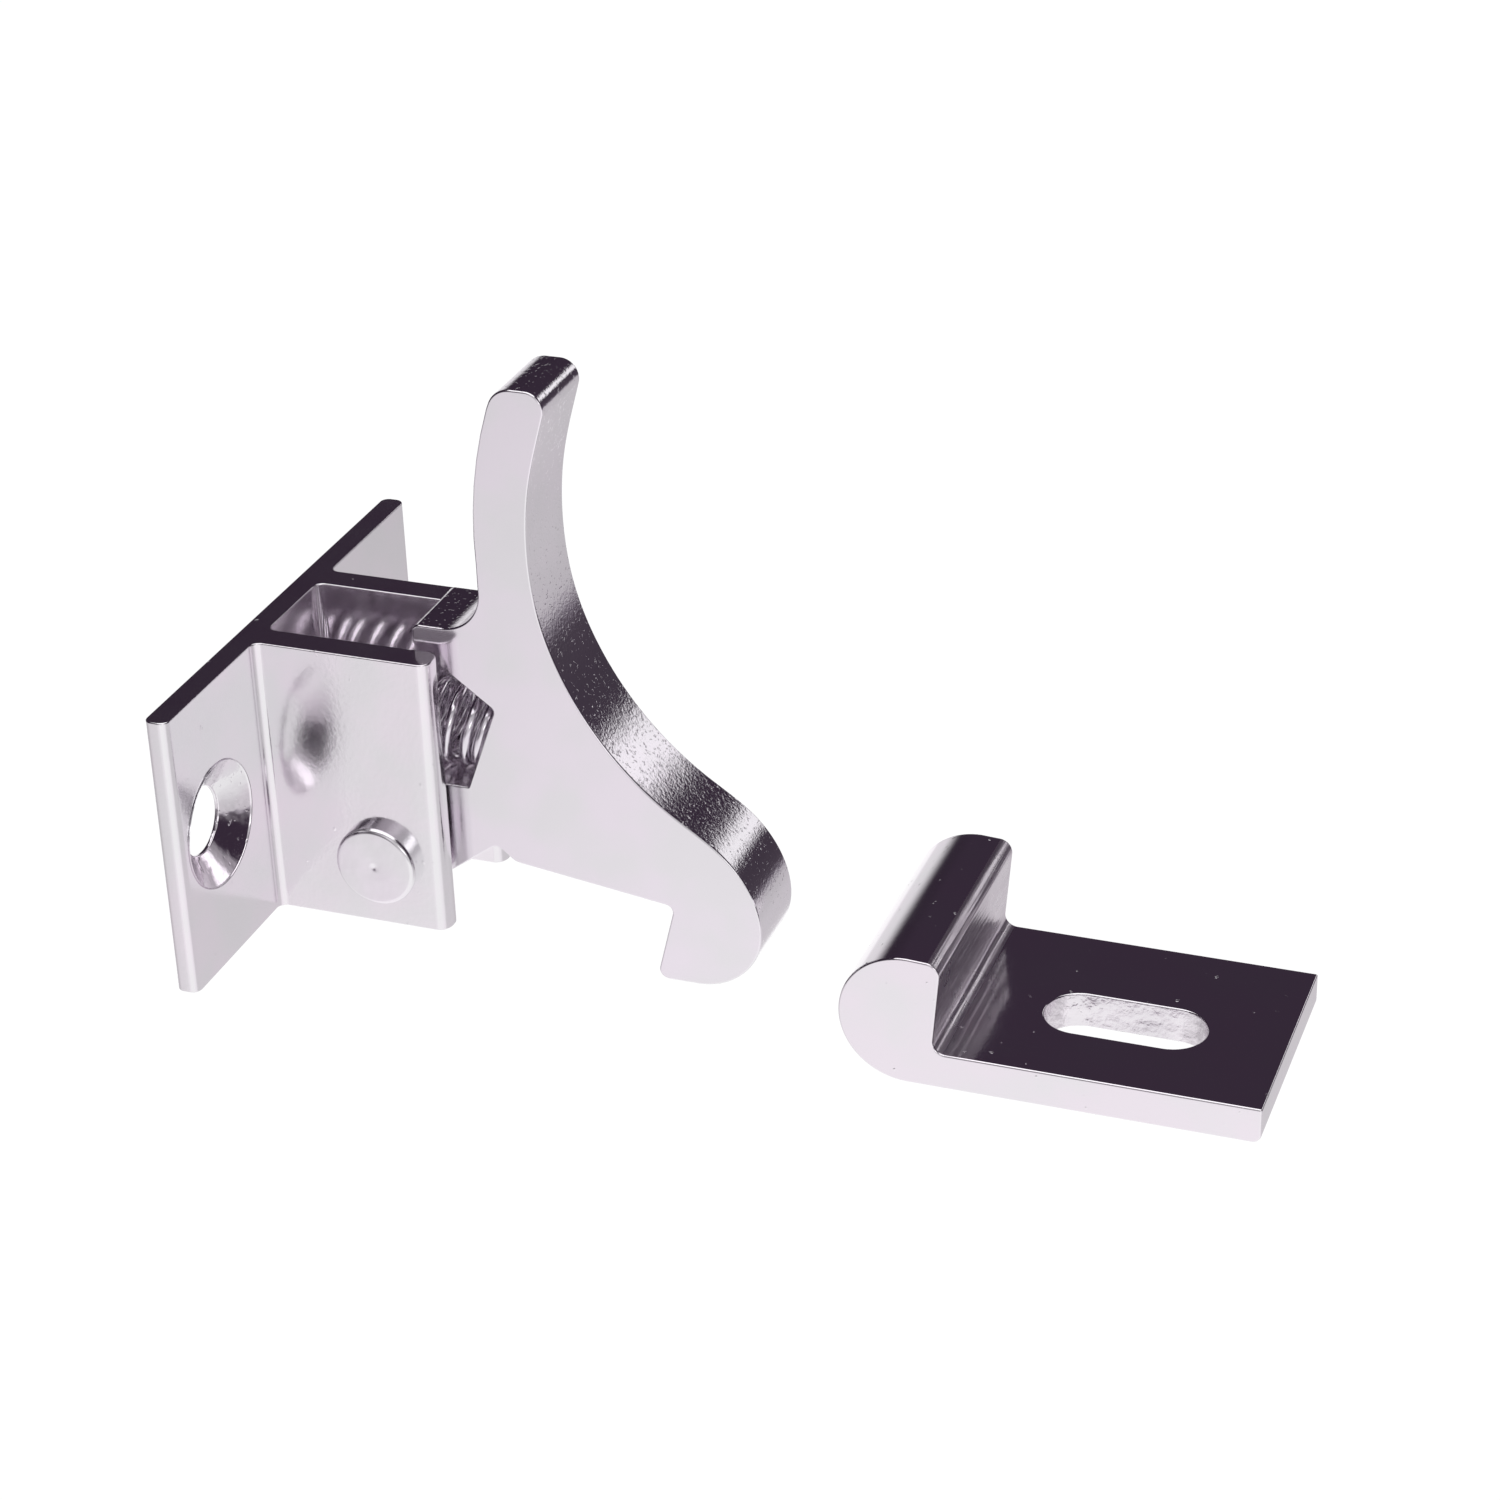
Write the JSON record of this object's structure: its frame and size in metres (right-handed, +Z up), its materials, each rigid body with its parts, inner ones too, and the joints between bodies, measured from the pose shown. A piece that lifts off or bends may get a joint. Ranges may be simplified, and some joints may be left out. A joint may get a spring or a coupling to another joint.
{
  "type": "gate latch",
  "caption": "Spring-loaded elbow catch with thumb lever and hook, pivoted between the ears of a screw-on plate, with a separate slotted strike that has a rounded lip.",
  "frame": {"origin": "centre of the mounting plate's back face", "axes": "+X out of the plate's front, away from the face it is screwed to; +Y along the pivot; +Z up, towards the thumb tab"},
  "size_m": [0.067, 0.034, 0.0406],
  "materials": {
    "plated_bracket": "bright nickel plate",
    "plated_lever": "bright nickel plate, extruded band slightly rough",
    "plated_pin": "bright nickel plate",
    "spring_wire": "drawn and plated wire",
    "plated_strike": "bright nickel plate"
  },
  "bodies": {
    "catch_bracket": {"base_bracket": "plated_bracket", "pivot_pin": "plated_pin", "return_spring": "spring_wire"},
    "lever": {"latch_lever": "plated_lever"},
    "strike": {"strike": "plated_strike"}
  },
  "joints": [
    {"name": "lever_pivot", "type": "hinge", "parent": "catch_bracket", "child": "lever", "pos_m": [0.00915, 0, -0.00495], "axis": [0, -1, 0], "range_deg": [0, 35], "stiffness_Nm_per_rad": 0.09, "springref_deg": -14.32, "deforming": ["return_spring"]},
    {"name": "strike_travel", "type": "slide", "parent": "catch_bracket", "child": "strike", "axis": [1, 0, 0], "range_m": [-0.0065, 0.02]}
  ]
}
